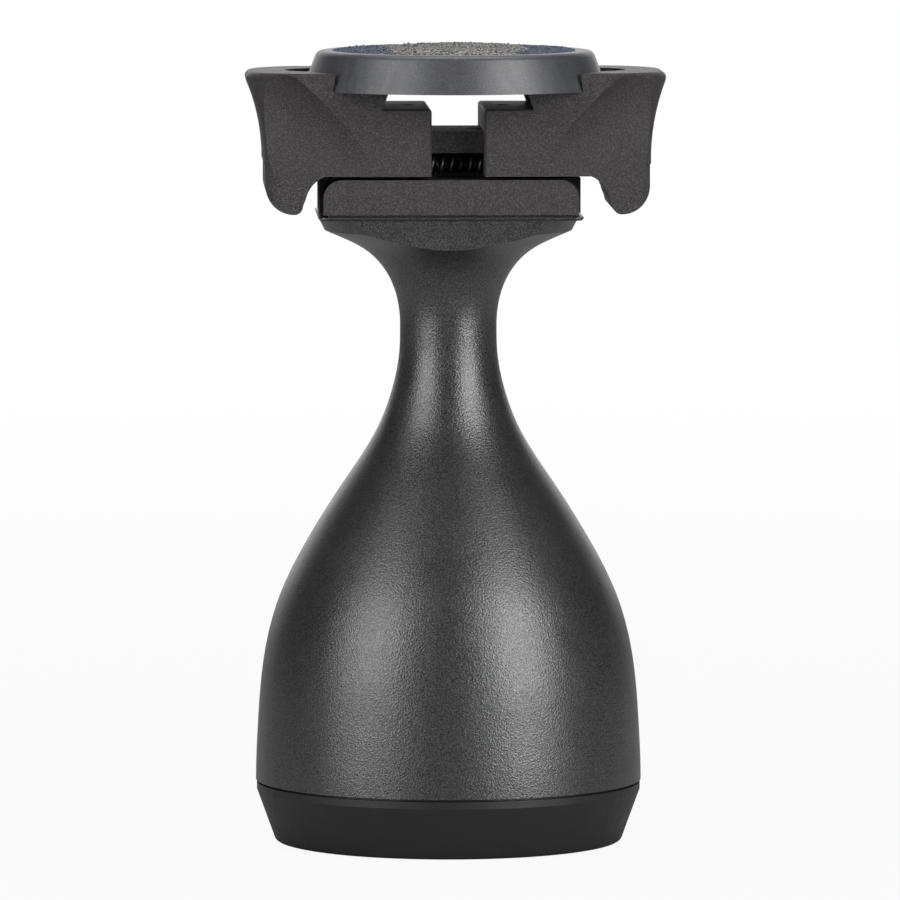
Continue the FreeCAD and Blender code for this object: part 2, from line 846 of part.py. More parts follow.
def assembly():
    jaw = right_jaw_centred()
    pieces = {
        "grip_shell": grip_shell(),
        "base_cap": base_cap(),
        "ballast_weight": ballast_weight(),
        "neck_screw": neck_screw(),
        "neck_washer": neck_washer(),
        "thread_insert": thread_insert(),
        "head_block": head_block(),
        "slide_rail": slide_rail(),
        "rail_screw_left": rail_screw(-1),
        "rail_screw_right": rail_screw(1),
        "left_jaw": placed_jaw(-1, jaw),
        "right_jaw": placed_jaw(1, jaw),
        "left_stop_screw": stop_screw(-1),
        "right_stop_screw": stop_screw(1),
        "front_spring": clamp_spring(-1),
        "back_spring": clamp_spring(1),
        "miniature_base": miniature_base(),
    }
    for index, place in enumerate(cap_screw_places()):
        pieces["cap_screw_%d" % (index + 1)] = cap_screw(place)
    return pieces


def main():
    os.makedirs("parts", exist_ok=True)
    for name, shape in assembly().items():
        if not shape.isValid():
            print("not valid:", name)
        print("%-18s solids %d, volume %.1f mm3" % (name, len(shape.Solids), shape.Volume))
        shape.exportStep("parts/%s.step" % name)
    print("jaw travel: left %.2f mm, right %.2f mm" % (left_travel, right_travel))


main()
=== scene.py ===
"""Looks of a miniature painting handle: its plastics, wound springs, basing and stage."""

import math
import random

import bpy
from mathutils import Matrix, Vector


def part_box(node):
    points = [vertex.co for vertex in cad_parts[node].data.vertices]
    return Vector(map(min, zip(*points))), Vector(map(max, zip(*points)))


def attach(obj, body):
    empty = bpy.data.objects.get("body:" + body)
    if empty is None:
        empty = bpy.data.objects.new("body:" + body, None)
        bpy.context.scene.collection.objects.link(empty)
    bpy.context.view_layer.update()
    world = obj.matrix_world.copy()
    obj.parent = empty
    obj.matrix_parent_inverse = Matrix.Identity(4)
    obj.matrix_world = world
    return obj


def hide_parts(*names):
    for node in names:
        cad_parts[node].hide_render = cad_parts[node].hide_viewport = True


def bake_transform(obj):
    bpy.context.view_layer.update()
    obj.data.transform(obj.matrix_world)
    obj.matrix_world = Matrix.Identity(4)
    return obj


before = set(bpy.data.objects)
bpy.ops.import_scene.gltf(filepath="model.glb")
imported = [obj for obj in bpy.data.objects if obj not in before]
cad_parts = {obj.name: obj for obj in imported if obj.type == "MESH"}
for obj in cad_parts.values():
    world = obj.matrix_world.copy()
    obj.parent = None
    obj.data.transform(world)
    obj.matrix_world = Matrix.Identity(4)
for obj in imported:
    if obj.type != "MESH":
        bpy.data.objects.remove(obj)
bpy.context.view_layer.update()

bl_info = {
    "name": "Painting Handle Finishes",
    "version": (1, 0, 0),
    "blender": (4, 5, 0),
    "location": "View3D > Sidebar > Handle",
    "description": "Finishes, clamp springs, basing and a stage for a miniature painting handle",
    "category": "Object",
}

MILLIMETRE = 0.001
WHITE = (1.0, 1.0, 1.0)

# Colours of the metals.
ZINC = (0.55, 0.56, 0.58)
BRASS = (0.72, 0.53, 0.26)
CAST_IRON = (0.16, 0.16, 0.17)
# Painted shade: the spring steel is made dark to stand in for the shade in the recess between the
# jaws.
SHADE_DARKENED_STEEL = (0.2, 0.2, 0.205)

# A pattern's squeeze along X, Y and Z.
EVEN = (1.0, 1.0, 1.0)
UPRIGHT_STREAKS = (1.0, 1.0, 0.12)
TURNED_RINGS = (1.0, 1.0, 6.0)

# The span that most of a noise's values lie in.
NOISE_SPAN = (0.3, 0.7)

# Places of the colour sockets on a Mix node, where sockets for numbers have the same names.
COLOUR_A = 6
COLOUR_B = 7
COLOUR_RESULT = 2

# Layers of basing: shares of a layer's height, and of its radius from the edge inwards.
UPRIGHT_SHARE = 0.3
TOP_SHARE = 0.5
TOP_UNEVENNESS = 0.08
RING_SHARES = (0.06, 0.07, 0.08, 0.09, 0.10, 0.10, 0.11, 0.11)

# The waves round a layer's edge: how many in a turn, and how fast they fade as they get finer.
EDGE_POINTS = 120
EDGE_WAVES = (3, 5, 8, 13, 21, 34)
WAVE_FALLOFF = 0.6

# How deep a layer is sunk into the base, and how far the patch lies to the right.
SUNK_DEPTH = 0.04 * MILLIMETRE
PATCH_OFFSET = 0.4 * MILLIMETRE

# The world's light: on dull surfaces, and as a gloss mirrors it away from the backdrop.
ROOM_STRENGTH = 0.15
MIRRORED_STRENGTH = 0.04

# Where the lamps stand and what they face.
LAMP_REACH = 0.62
SIDE_LAMP_HEIGHT = 0.26
LAMP_AIM = (0, 0, 0.1)


# ---- sizes and colours ----

class HandleSizes(bpy.types.PropertyGroup):
    grain_size: bpy.props.FloatProperty(
        name="Grip grain", description="Distance between the bumps of the grip's moulded grain",
        default=0.0002, min=0.0001, max=0.002, subtype="DISTANCE", unit="LENGTH", precision=5)
    grain_height: bpy.props.FloatProperty(
        name="Grip grain height", description="How far the grip's grain stands out",
        default=0.000022, min=0.0, max=0.0002, subtype="DISTANCE", unit="LENGTH", precision=6)
    spark_size: bpy.props.FloatProperty(
        name="Clamp grain", description="Distance between the fine bumps on the jaws and block",
        default=0.00015, min=0.00005, max=0.001, subtype="DISTANCE", unit="LENGTH", precision=5)
    spark_height: bpy.props.FloatProperty(
        name="Clamp grain height", description="How far the clamp's fine grain stands out",
        default=0.00012, min=0.0, max=0.0003, subtype="DISTANCE", unit="LENGTH", precision=6)
    spring_wire: bpy.props.FloatProperty(
        name="Spring wire", description="Thickness of the clamp springs' wire",
        default=0.0004, min=0.0001, max=0.001, subtype="DISTANCE", unit="LENGTH", precision=5)
    spring_pitch: bpy.props.FloatProperty(
        name="Spring pitch", description="Distance from one turn of a clamp spring to the next",
        default=0.001, min=0.0004, max=0.004, subtype="DISTANCE", unit="LENGTH", precision=5)
    spring_lead: bpy.props.FloatProperty(
        name="Spring lead", description="Length between a spring's end loop and its first turn",
        default=0.0021, min=0.001, max=0.006, subtype="DISTANCE", unit="LENGTH", precision=5)
    basing_radius: bpy.props.FloatProperty(
        name="Basing radius",
        description="How far the gritty paste reaches from the middle of the base",
        default=0.0128, min=0.005, max=0.015, subtype="DISTANCE", unit="LENGTH", precision=4)
    basing_depth: bpy.props.FloatProperty(
        name="Basing depth", description="Thickness of the gritty paste",
        default=0.0002, min=0.0001, max=0.002, subtype="DISTANCE", unit="LENGTH", precision=5)
    patch_half_width: bpy.props.FloatProperty(
        name="Patch half width",
        description="Half the width of the raised oval patch that a figure stands on",
        default=0.0076, min=0.002, max=0.012, subtype="DISTANCE", unit="LENGTH", precision=4)
    patch_stretch: bpy.props.FloatProperty(
        name="Patch stretch",
        description="How much longer the oval patch is from front to back than across",
        default=1.55, min=0.5, max=2.0)
    patch_height: bpy.props.FloatProperty(
        name="Patch height", description="How far the raised patch stands above the base",
        default=0.00044, min=0.0002, max=0.003, subtype="DISTANCE", unit="LENGTH", precision=5)
    grit_count: bpy.props.IntProperty(
        name="Loose grit", description="How many loose grains are stuck on the paste",
        default=260, min=1, max=2000)


class HandleColours(bpy.types.PropertyGroup):
    grip: bpy.props.FloatVectorProperty(
        name="Grip", description="Colour of the moulded grip", subtype="COLOR",
        size=3, default=(0.0045, 0.0047, 0.0054), min=0.0, max=1.0)
    cap: bpy.props.FloatVectorProperty(
        name="Foot cap", description="Colour of the smooth foot cap", subtype="COLOR",
        size=3, default=(0.0105, 0.0105, 0.011), min=0.0, max=1.0)
    clamp: bpy.props.FloatVectorProperty(
        name="Clamp", description="Colour of the jaws, rail and block", subtype="COLOR",
        size=3, default=(0.0125, 0.0098, 0.0095), min=0.0, max=1.0)
    held_base: bpy.props.FloatVectorProperty(
        name="Held base", description="Colour of the round base's moulded side", subtype="COLOR",
        size=3, default=(0.022, 0.023, 0.027), min=0.0, max=1.0)
    grit: bpy.props.FloatVectorProperty(
        name="Grit", description="Colour of the dark grit", subtype="COLOR",
        size=3, default=(0.03, 0.029, 0.029), min=0.0, max=1.0)
    grit_light: bpy.props.FloatVectorProperty(
        name="Light grains", description="Colour of the light grains in the grit", subtype="COLOR",
        size=3, default=(0.5, 0.49, 0.475), min=0.0, max=1.0)
    paint: bpy.props.FloatVectorProperty(
        name="Paint wash", description="Colour of the blue paint that has run into the grit",
        subtype="COLOR", size=3, default=(0.016, 0.028, 0.075), min=0.0, max=1.0)
    floor: bpy.props.FloatVectorProperty(
        name="Floor", description="Colour of the stage's floor", subtype="COLOR",
        size=3, default=(0.34, 0.34, 0.34), min=0.0, max=1.0)


def sizes():
    return bpy.context.scene.painting_handle_sizes


def colours():
    return bpy.context.scene.painting_handle_colours


# ---- modelling helpers ----

def deselect_all():
    bpy.ops.object.select_all(action="DESELECT")


def select_only(piece):
    deselect_all()
    piece.select_set(True)
    bpy.context.view_layer.objects.active = piece


def start_piece(name):
    """Name the piece that an operator has just made active."""
    piece = bpy.context.active_object
    piece.name = name
    piece.data.name = name
    return piece


def settle(piece):
    """Put the piece's place into its mesh, so that its object lies at the origin."""
    select_only(piece)
    bpy.ops.object.transform_apply(location=True, rotation=True, scale=True)
    return piece


def edit_whole(piece):
    """Enter edit mode with all of the piece selected."""
    select_only(piece)
    bpy.ops.object.mode_set(mode="EDIT")
    bpy.ops.mesh.select_all(action="SELECT")


def end_edit():
    bpy.ops.object.mode_set(mode="OBJECT")


def outward(piece):
    """Merge doubles and turn every face outwards."""
    edit_whole(piece)
    bpy.ops.mesh.remove_doubles(threshold=1e-6)
    bpy.ops.mesh.normals_make_consistent(inside=False)
    end_edit()
    return piece


def smooth(piece, degrees):
    """Shade the piece smooth, except across edges sharper than an angle."""
    select_only(piece)
    bpy.ops.object.shade_smooth_by_angle(angle=math.radians(degrees))
    return piece


def apply_modifier(piece, name, kind, **settings):
    """Add a modifier with its settings and apply it."""
    modifier = piece.modifiers.new(name, kind)
    for setting, value in settings.items():
        setattr(modifier, setting, value)
    select_only(piece)
    bpy.ops.object.modifier_apply(modifier=modifier.name)


# ---- material helpers ----

class NodeKit:
    """A node tree, with short ways to add a node and link it up."""

    def __init__(self, tree):
        self.nodes = tree.nodes
        self.links = tree.links

    def feed(self, socket, source):
        """Link a source to a socket, or set it there if it is a plain number or colour."""
        if isinstance(source, bpy.types.NodeSocket):
            self.links.new(source, socket)
        elif socket.type == "RGBA":
            socket.default_value = (*source, 1.0)
        else:
            socket.default_value = source

    def add(self, kind, feeds, **settings):
        """Add a node with its settings; feeds gives the sources of its inputs by name or place."""
        node = self.nodes.new(kind)
        for name, value in settings.items():
            setattr(node, name, value)
        for key, source in feeds.items():
            self.feed(node.inputs[key], source)
        return node

    def reckoned(self, operation, *terms):
        """The result of a sum, each term a number or a socket."""
        feeds = dict(enumerate(terms))
        return self.add("ShaderNodeMath", feeds, operation=operation).outputs["Value"]

    def ranged(self, value, low, high, to_low=0.0, to_high=1.0, interpolation="LINEAR"):
        """A value between low and high, stretched to lie between two others."""
        feeds = {"Value": value, "From Min": low, "From Max": high,
                 "To Min": to_low, "To Max": to_high}
        node = self.add("ShaderNodeMapRange", feeds, interpolation_type=interpolation)
        return node.outputs["Result"]

    def switched(self, switch, off, on):
        """One level or the other by a switch; each level is a number or a socket."""
        feeds = {"Factor": switch, "A": off, "B": on}
        return self.add("ShaderNodeMix", feeds, data_type="FLOAT").outputs["Result"]

    def mixed(self, factor, first, second):
        """One colour turning into another; each is a colour or a socket."""
        feeds = {"Factor": factor, COLOUR_A: first, COLOUR_B: second}
        return self.add("ShaderNodeMix", feeds, data_type="RGBA").outputs[COLOUR_RESULT]


class Finish(NodeKit):
    """A Principled material with its node tree at hand."""

    def __init__(self, name, colour, roughness, specular=0.5, metallic=0.0):
        self.material = bpy.data.materials.new(name)
        self.material.use_nodes = True
        super().__init__(self.material.node_tree)
        self.shader = self.nodes["Principled BSDF"]
        self.vary("Base Color", colour)
        self.vary("Roughness", roughness)
        self.vary("Specular IOR Level", specular)
        self.vary("Metallic", metallic)
        self.place = self.nodes.new("ShaderNodeTexCoord").outputs["Object"]

    def vary(self, name, source):
        """Give one of the shader's sockets a value, or the pattern that it follows."""
        self.feed(self.shader.inputs[name], source)

    def noise(self, spacing, detail=2.0, roughness=0.5, squeeze=EVEN):
        """Noise whose features are about a spacing apart."""
        placed = self.add("ShaderNodeMapping", {"Vector": self.place, "Scale": squeeze})
        feeds = {"Vector": placed.outputs["Vector"], "Scale": 1.0 / spacing,
                 "Detail": detail, "Roughness": roughness}
        return self.add("ShaderNodeTexNoise", feeds).outputs["Fac"]

    def cells(self, spacing, smoothness):
        """Round cells a spacing apart, low in their middles."""
        feeds = {"Vector": self.place, "Scale": 1.0 / spacing, "Smoothness": smoothness}
        return self.add("ShaderNodeTexVoronoi", feeds, feature="SMOOTH_F1").outputs["Distance"]

    def spread(self, noise, low, high):
        """A noise drawn out from low to high."""
        return self.ranged(noise, *NOISE_SPAN, low, high)

    def summed(self, first, second, share):
        """The first value and a share of the second."""
        return self.reckoned("MULTIPLY_ADD", second, share, first)

    def sideways(self):
        """The distance from the middle plane between the left and the right, in metres."""
        split = self.add("ShaderNodeSeparateXYZ", {"Vector": self.place})
        return self.reckoned("ABSOLUTE", split.outputs["X"])

    def raised_by(self, height, distance):
        """Raise the surface by a pattern, up to a distance."""
        feeds = {"Height": height, "Strength": 1.0, "Distance": distance}
        self.vary("Normal", self.add("ShaderNodeBump", feeds).outputs["Normal"])


def paler(colour, by):
    return tuple(min(1.0, channel + by) for channel in colour)


def darker(colour, to):
    return tuple(channel * to for channel in colour)


def give_finish(names, finish):
    """Give CAD nodes a finish in place of what they have."""
    for name in names:
        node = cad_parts[name]
        node.data.materials.clear()
        node.data.materials.append(finish.material)


# ---- finishes ----

def moulded_grip_finish():
    """Black satin plastic with a fine leathery grain and slightly uneven sheen."""
    colour = tuple(colours().grip)
    grain_size = sizes().grain_size
    fine_size = grain_size * 0.6
    cloud_size = 6 * MILLIMETRE
    sheen_size = 4 * MILLIMETRE
    finish = Finish("moulded grip plastic", colour, roughness=0.36, specular=1.0)
    pebbles = finish.cells(grain_size, smoothness=0.2)
    fine = finish.noise(fine_size)
    finish.raised_by(finish.summed(pebbles, fine, share=0.8), sizes().grain_height)
    clouded = finish.mixed(finish.noise(cloud_size), colour, paler(colour, by=0.004))
    crests = finish.ranged(fine, low=0.42, high=0.62)
    finish.vary("Base Color", finish.mixed(crests, clouded, paler(colour, by=0.036)))
    gloss = finish.ranged(crests, low=0.0, high=1.0, to_low=0.7, to_high=1.15)
    finish.vary("Specular IOR Level", gloss)
    finish.vary("Roughness", finish.spread(finish.noise(sheen_size), low=0.29, high=0.35))
    return finish


def smooth_cap_finish():
    """The foot's smoother plastic, with faint upright streaks."""
    colour = tuple(colours().cap)
    streak_width = 0.5 * MILLIMETRE
    speck_size = 0.25 * MILLIMETRE
    cloud_size = 4 * MILLIMETRE
    relief = 0.008 * MILLIMETRE
    finish = Finish("smooth cap plastic", colour, roughness=0.44, specular=0.4)
    streaks = finish.noise(streak_width, squeeze=UPRIGHT_STREAKS)
    finish.raised_by(finish.summed(streaks, finish.noise(speck_size), share=0.5), relief)
    clouded = finish.mixed(finish.noise(cloud_size), colour, paler(colour, by=0.004))
    finish.vary("Base Color", clouded)
    finish.vary("Roughness", finish.spread(streaks, low=0.38, high=0.5))
    return finish


def clamp_finish(name, roughness, specular):
    """Matte plastic of the block, rail and jaws, with a fine spark grain and pale flecks."""
    colour = tuple(colours().clamp)
    spark_size = sizes().spark_size
    fleck_size = spark_size * 0.9
    cloud_size = 0.9 * MILLIMETRE
    finish = Finish(name, colour, roughness, specular)
    fine = finish.noise(spark_size, detail=4.0, roughness=0.7)
    clouds = finish.noise(cloud_size)
    finish.raised_by(finish.summed(fine, clouds, share=0.6), sizes().spark_height)
    flecks = finish.ranged(finish.noise(fleck_size, detail=3.0), low=0.46, high=0.68)
    clouded = finish.mixed(clouds, colour, paler(colour, by=0.008))
    finish.vary("Base Color", finish.mixed(flecks, clouded, paler(colour, by=0.05)))
    uneven = finish.spread(fine, low=roughness - 0.06, high=roughness + 0.08)
    finish.vary("Roughness", uneven)
    return finish


def held_base_finish():
    """Satin blue-grey plastic of the round base, with fine speckles and faint upright marks."""
    colour = tuple(colours().held_base)
    mark_width = 0.8 * MILLIMETRE
    speck_size = 0.16 * MILLIMETRE
    relief = 0.012 * MILLIMETRE
    finish = Finish("held base plastic", colour, roughness=0.42, specular=0.9)
    marks = finish.noise(mark_width, detail=3.0, squeeze=UPRIGHT_STREAKS)
    specks = finish.noise(speck_size)
    finish.raised_by(finish.summed(marks, specks, share=1.5), relief)
    marked = finish.mixed(marks, colour, paler(colour, by=0.01))
    pale_specks = finish.ranged(specks, low=0.4, high=0.7)
    finish.vary("Base Color", finish.mixed(pale_specks, marked, paler(colour, by=0.035)))
    finish.vary("Roughness", finish.spread(marks, low=0.36, high=0.46))
    return finish


def grit_finish(name, painted):
    """Dark grit with pale grains; painted is how blue it is at the left and right."""
    grit = tuple(colours().grit)
    grain_size = 0.3 * MILLIMETRE
    relief = 0.12 * MILLIMETRE
    fray_size = 2.2 * MILLIMETRE
    fray_reach = 4 * MILLIMETRE
    tint_start, tint_end = 8 * MILLIMETRE, 9.2 * MILLIMETRE
    finish = Finish(name, grit, roughness=0.85, specular=0.3)
    grains = finish.noise(grain_size, detail=5.0, roughness=0.8)
    pale_grains = finish.ranged(grains, low=0.49, high=0.58)
    plain = finish.mixed(pale_grains, grit, tuple(colours().grit_light))
    washed = finish.mixed(pale_grains, tuple(colours().paint), paler(colours().paint, by=0.14))
    frayed = finish.summed(finish.sideways(), finish.noise(fray_size, detail=3.0), fray_reach)
    tint = finish.ranged(frayed, tint_start, tint_end, to_high=painted)
    finish.vary("Base Color", finish.mixed(tint, plain, washed))
    finish.raised_by(grains, relief)
    return finish


def metal_finish(name, colour, roughness, squeeze=EVEN):
    """Metal with fine brush marks."""
    mark_width = 0.3 * MILLIMETRE
    relief = 0.004 * MILLIMETRE
    finish = Finish(name, colour, roughness, metallic=1.0)
    marks = finish.noise(mark_width, detail=3.0, squeeze=squeeze)
    finish.raised_by(marks, relief)
    finish.vary("Base Color", finish.mixed(marks, colour, darker(colour, to=0.8)))
    uneven = finish.spread(marks, low=roughness - 0.08, high=roughness + 0.1)
    finish.vary("Roughness", uneven)
    return finish


class HANDLE_OT_finish_grip(bpy.types.Operator):
    """Give the grip its leathery grain and the foot cap its smoother plastic"""

    bl_idname = "painting_handle.finish_grip"
    bl_label = "Finish Grip"

    def execute(self, context):
        give_finish(["grip_shell"], moulded_grip_finish())
        give_finish(["base_cap"], smooth_cap_finish())
        return {"FINISHED"}


class HANDLE_OT_finish_clamp(bpy.types.Operator):
    """Give the block, the rail and both jaws their matte grained plastic"""

    bl_idname = "painting_handle.finish_clamp"
    bl_label = "Finish Clamp"

    def execute(self, context):
        grained = clamp_finish("grained clamp plastic", roughness=0.42, specular=0.4)
        give_finish(["head_block", "left_jaw", "right_jaw"], grained)
        give_finish(["slide_rail"], clamp_finish("dull rail plastic", roughness=0.62, specular=0.5))
        return {"FINISHED"}


class HANDLE_OT_finish_fasteners(bpy.types.Operator):
    """Give the screws, washer, insert and ballast their metals"""

    bl_idname = "painting_handle.finish_fasteners"
    bl_label = "Finish Fasteners"

    def execute(self, context):
        fasteners = [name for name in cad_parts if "screw" in name or "washer" in name]
        give_finish(fasteners, metal_finish("zinc plated steel", ZINC, roughness=0.34))
        brass = metal_finish("turned brass", BRASS, roughness=0.3, squeeze=TURNED_RINGS)
        give_finish(["thread_insert"], brass)
        give_finish(["ballast_weight"], metal_finish("plain cast iron", CAST_IRON, roughness=0.6))
        return {"FINISHED"}


class HANDLE_OT_finish_held_base(bpy.types.Operator):
    """Give the clamped round base its smooth blue-grey plastic"""

    bl_idname = "painting_handle.finish_held_base"
    bl_label = "Finish Held Base"

    def execute(self, context):
        give_finish(["miniature_base"], held_base_finish())
        return {"FINISHED"}


# ---- clamp springs ----

def coil_path(length, radius, pitch, lead):
    """Points along a wire from peg to peg on the X axis: a loop, a coil and a loop."""
    turns = math.floor((length - 2 * lead) / pitch)
    first = (length - turns * pitch) / 2
    steps_in_turn = 10
    loop_start, loop_sweep = -45, -270
    loop = []
    for step in range(steps_in_turn + 1):
        angle = math.radians(loop_start + loop_sweep * step / steps_in_turn)
        loop.append(Vector((radius * math.cos(angle), 0, radius * math.sin(angle))))
    coil = []
    for step in range(turns * steps_in_turn + 1):
        angle = math.tau * step / steps_in_turn
        along = first + pitch * step / steps_in_turn
        coil.append(Vector((along, -radius * math.cos(angle), radius * math.sin(angle))))
    tail = [Vector((length - point.x, point.y, -point.z)) for point in reversed(loop)]
    return loop + coil + tail


def wound_wire(name, points, thickness):
    """One round wire along a smooth line through the points, as a closed mesh."""
    bpy.ops.curve.primitive_bezier_curve_add()
    wire = start_piece(name)
    curve = wire.data
    curve.splines.clear()
    spline = curve.splines.new("BEZIER")
    spline.bezier_points.add(len(points) - 1)
    for knot, point in zip(spline.bezier_points, points):
        knot.co = point
        knot.handle_left_type = "AUTO"
        knot.handle_right_type = "AUTO"
    curve.resolution_u = 3
    curve.bevel_depth = thickness / 2
    curve.bevel_resolution = 2
    curve.use_fill_caps = True
    select_only(wire)
    bpy.ops.object.convert(target="MESH")
    return outward(bpy.context.active_object)


def keep_side(piece, cut, direction):
    """Cut a piece by an upright plane across X and keep the side that a direction points to."""
    edit_whole(piece)
    bpy.ops.mesh.bisect(plane_co=cut, plane_no=(direction, 0, 0), use_fill=True, clear_inner=True)
    end_edit()
    return piece


class HANDLE_OT_wind_springs(bpy.types.Operator):
    """Wind the two clamp springs and cut each into a left and a right half"""

    bl_idname = "painting_handle.wind_springs"
    bl_label = "Wind Springs"

    def execute(self, context):
        # The springs' wire gets steel painted dark, as painted shade for the shaded recess that the
        # springs sit in.
        finish = metal_finish("shade_darkened spring wire", SHADE_DARKENED_STEEL, roughness=0.45)
        wire = sizes().spring_wire
        for node in ("front_spring", "back_spring"):
            low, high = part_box(node)
            centre = (low + high) / 2
            radius = (high.z - low.z - wire) / 2
            left_peg = Vector((low.x + radius + wire / 2, centre.y, centre.z))
            right_peg = Vector((high.x - radius - wire / 2, centre.y, centre.z))
            middle = (left_peg + right_peg) / 2
            length = right_peg.x - left_peg.x
            path = coil_path(length, radius, sizes().spring_pitch, sizes().spring_lead)
            points = [point + left_peg for point in path]
            for side, peg, direction in (("left", left_peg, -1), ("right", right_peg, 1)):
                wound = wound_wire(node + "_" + side + "_half", points, wire)
                half = keep_side(wound, middle, direction)
                half.data.materials.append(finish.material)
                smooth(half, degrees=60)
                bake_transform(half)
                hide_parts(node)
        return {"FINISHED"}


# ---- basing on the held base ----

def ragged_layer(name, centre, radius, height, raggedness, seed):
    """A thin round layer with an uneven sloping edge and an uneven top, rising from the base."""
    slope_width = height * 2
    bpy.ops.mesh.primitive_circle_add(
        vertices=EDGE_POINTS, radius=radius, fill_type="NGON", location=centre)
    layer = settle(start_piece(name))
    edit_whole(layer)
    upright = height * UPRIGHT_SHARE
    bpy.ops.mesh.extrude_region_move(TRANSFORM_OT_translate={"value": (0, 0, upright)})
    bpy.ops.mesh.inset(thickness=slope_width, depth=height * (1 - UPRIGHT_SHARE))
    for share in RING_SHARES:
        bpy.ops.mesh.inset(thickness=radius * share, depth=0)
    bpy.ops.mesh.poke()
    end_edit()
    chance = random.Random(seed)
    waves = [(count, chance.uniform(0, math.tau), chance.uniform(0.4, 1.0))
             for count in EDGE_WAVES]
    for vertex in layer.data.vertices:
        offset = vertex.co - centre
        across = math.hypot(offset.x, offset.y)
        turn = math.atan2(offset.y, offset.x)
        sway = sum(size * math.sin(count * turn + phase) / count ** WAVE_FALLOFF
                   for count, phase, size in waves)
        push = 1 + raggedness * sway * (across / radius) ** 2
        vertex.co.x = centre.x + offset.x * push
        vertex.co.y = centre.y + offset.y * push
        if offset.z > height * TOP_SHARE:
            vertex.co.z += chance.uniform(-TOP_UNEVENNESS, TOP_UNEVENNESS) * height
    return outward(layer)


def lumpy(layer, spacing):
    """Break up a layer's top with a fine cloud displacement."""
    texture = bpy.data.textures.new(layer.name + "_lumps", "CLOUDS")
    texture.noise_scale = spacing
    texture.noise_depth = 2
    apply_modifier(
        layer, "finer", "SUBSURF", subdivision_type="SIMPLE", levels=1, render_levels=1)
    apply_modifier(
        layer, "lumps", "DISPLACE", texture=texture, texture_coords="LOCAL", direction="Z",
        mid_level=0.5, strength=0.12 * MILLIMETRE)
    return layer


def chip_model(seed):
    """One chip of grit, about two units across: a jittered ball with its top cut off askew."""
    bpy.ops.mesh.primitive_ico_sphere_add(subdivisions=1, radius=1.0)
    model = start_piece("loose_grit")
    edit_whole(model)
    bpy.ops.transform.vertex_random(offset=0.25, seed=seed)
    bpy.ops.mesh.bisect(
        plane_co=(0, 0, 0.45), plane_no=(0.2, 0.1, 1), use_fill=True, clear_outer=True)
    end_edit()
    return outward(model)


def loose_grains(centre, seed):
    """Small chips stuck on the paste: one chip is modelled and copied with its own mesh."""
    model = chip_model(seed)
    chip_sizes = (0.06 * MILLIMETRE, 0.15 * MILLIMETRE)
    stretches = ((0.7, 1.3), (0.7, 1.3), (0.5, 0.9))
    edge_share, patch_share = 0.97, 0.8
    chance = random.Random(seed)
    chips = []
    for index in range(sizes().grit_count):
        reach = sizes().basing_radius * math.sqrt(chance.uniform(0.0, 1.0)) * edge_share
        turn = chance.uniform(0, math.tau)
        place = Vector((reach * math.cos(turn), reach * math.sin(turn), 0))
        across = math.hypot(place.x, place.y / sizes().patch_stretch) / sizes().patch_half_width
        place.z = sizes().patch_height if across < patch_share else sizes().basing_depth
        size = chance.uniform(*chip_sizes)
        chip = model.copy()
        chip.data = model.data.copy()
        chip.location = place + centre
        chip.scale = [size * chance.uniform(low, high) for low, high in stretches]
        chip.rotation_euler = [chance.uniform(0, math.tau) for axis in range(3)]
        bpy.context.collection.objects.link(chip)
        chips.append(chip)
    bpy.data.meshes.remove(model.data)
    deselect_all()
    for chip in chips:
        chip.select_set(True)
    bpy.context.view_layer.objects.active = chips[0]
    bpy.ops.object.join()
    return settle(start_piece("loose_grit"))


class HANDLE_OT_add_basing(bpy.types.Operator):
    """Spread gritty basing paste on the held base and raise the patch that a figure stands on"""

    bl_idname = "painting_handle.add_basing"
    bl_label = "Add Basing"

    def execute(self, context):
        low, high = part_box("miniature_base")
        top = Vector(((low.x + high.x) / 2, 0, high.z))
        foot = top - Vector((0, 0, SUNK_DEPTH))
        paste = ragged_layer(
            "basing_paste", foot, sizes().basing_radius, sizes().basing_depth,
            raggedness=0.012, seed=5)
        lumpy(paste, spacing=0.6 * MILLIMETRE)
        patch = ragged_layer(
            "figure_patch", Vector((0, 0, 0)), sizes().patch_half_width, sizes().patch_height,
            raggedness=0.015, seed=11)
        patch.scale.y = sizes().patch_stretch
        patch.location = foot + Vector((PATCH_OFFSET, 0, 0))
        lumpy(settle(patch), spacing=0.5 * MILLIMETRE)
        grains = loose_grains(top, seed=23)
        for piece, finish in (
                (paste, grit_finish("painted grit", painted=0.95)),
                (patch, grit_finish("bare grit", painted=0.1)),
                (grains, grit_finish("loose grit", painted=0.5))):
            piece.data.materials.append(finish.material)
            smooth(piece, degrees=35)
            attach(piece, "handle")
        return {"FINISHED"}


# ---- stage ----

def around(azimuth, distance, height):
    """A place round the handle, azimuth in degrees from the front, positive to the right."""
    turn = math.radians(azimuth)
    return (distance * math.sin(turn), -distance * math.cos(turn), height)


def facing(place, aim):
    """The turn that points a lamp or camera at a place towards an aim."""
    return (Vector(aim) - Vector(place)).to_track_quat("-Z", "Y").to_euler()


def soft_box(name, place, width, height, power):
    """A flat rectangular lamp at a place, facing the handle."""
    bpy.ops.object.light_add(type="AREA", location=place)
    lamp = bpy.context.active_object
    lamp.name = name
    lamp.data.shape = "RECTANGLE"
    lamp.data.size = width
    lamp.data.size_y = height
    lamp.data.energy = power
    lamp.rotation_euler = facing(place, LAMP_AIM)


def photo_camera():
    """A long lens a metre away, slightly left of the front and a little above."""
    place = around(azimuth=-2.0, distance=1.05, height=0.128)
    aim = (0.00018, 0.0, 0.0412)
    bpy.ops.object.camera_add(location=place)
    camera = bpy.context.active_object
    camera.name = "photo_camera"
    camera.rotation_euler = facing(place, aim)
    camera.data.sensor_width = 36.0
    camera.data.lens = 400.4
    camera.data.clip_start = 0.05
    camera.data.clip_end = 20.0
    return camera


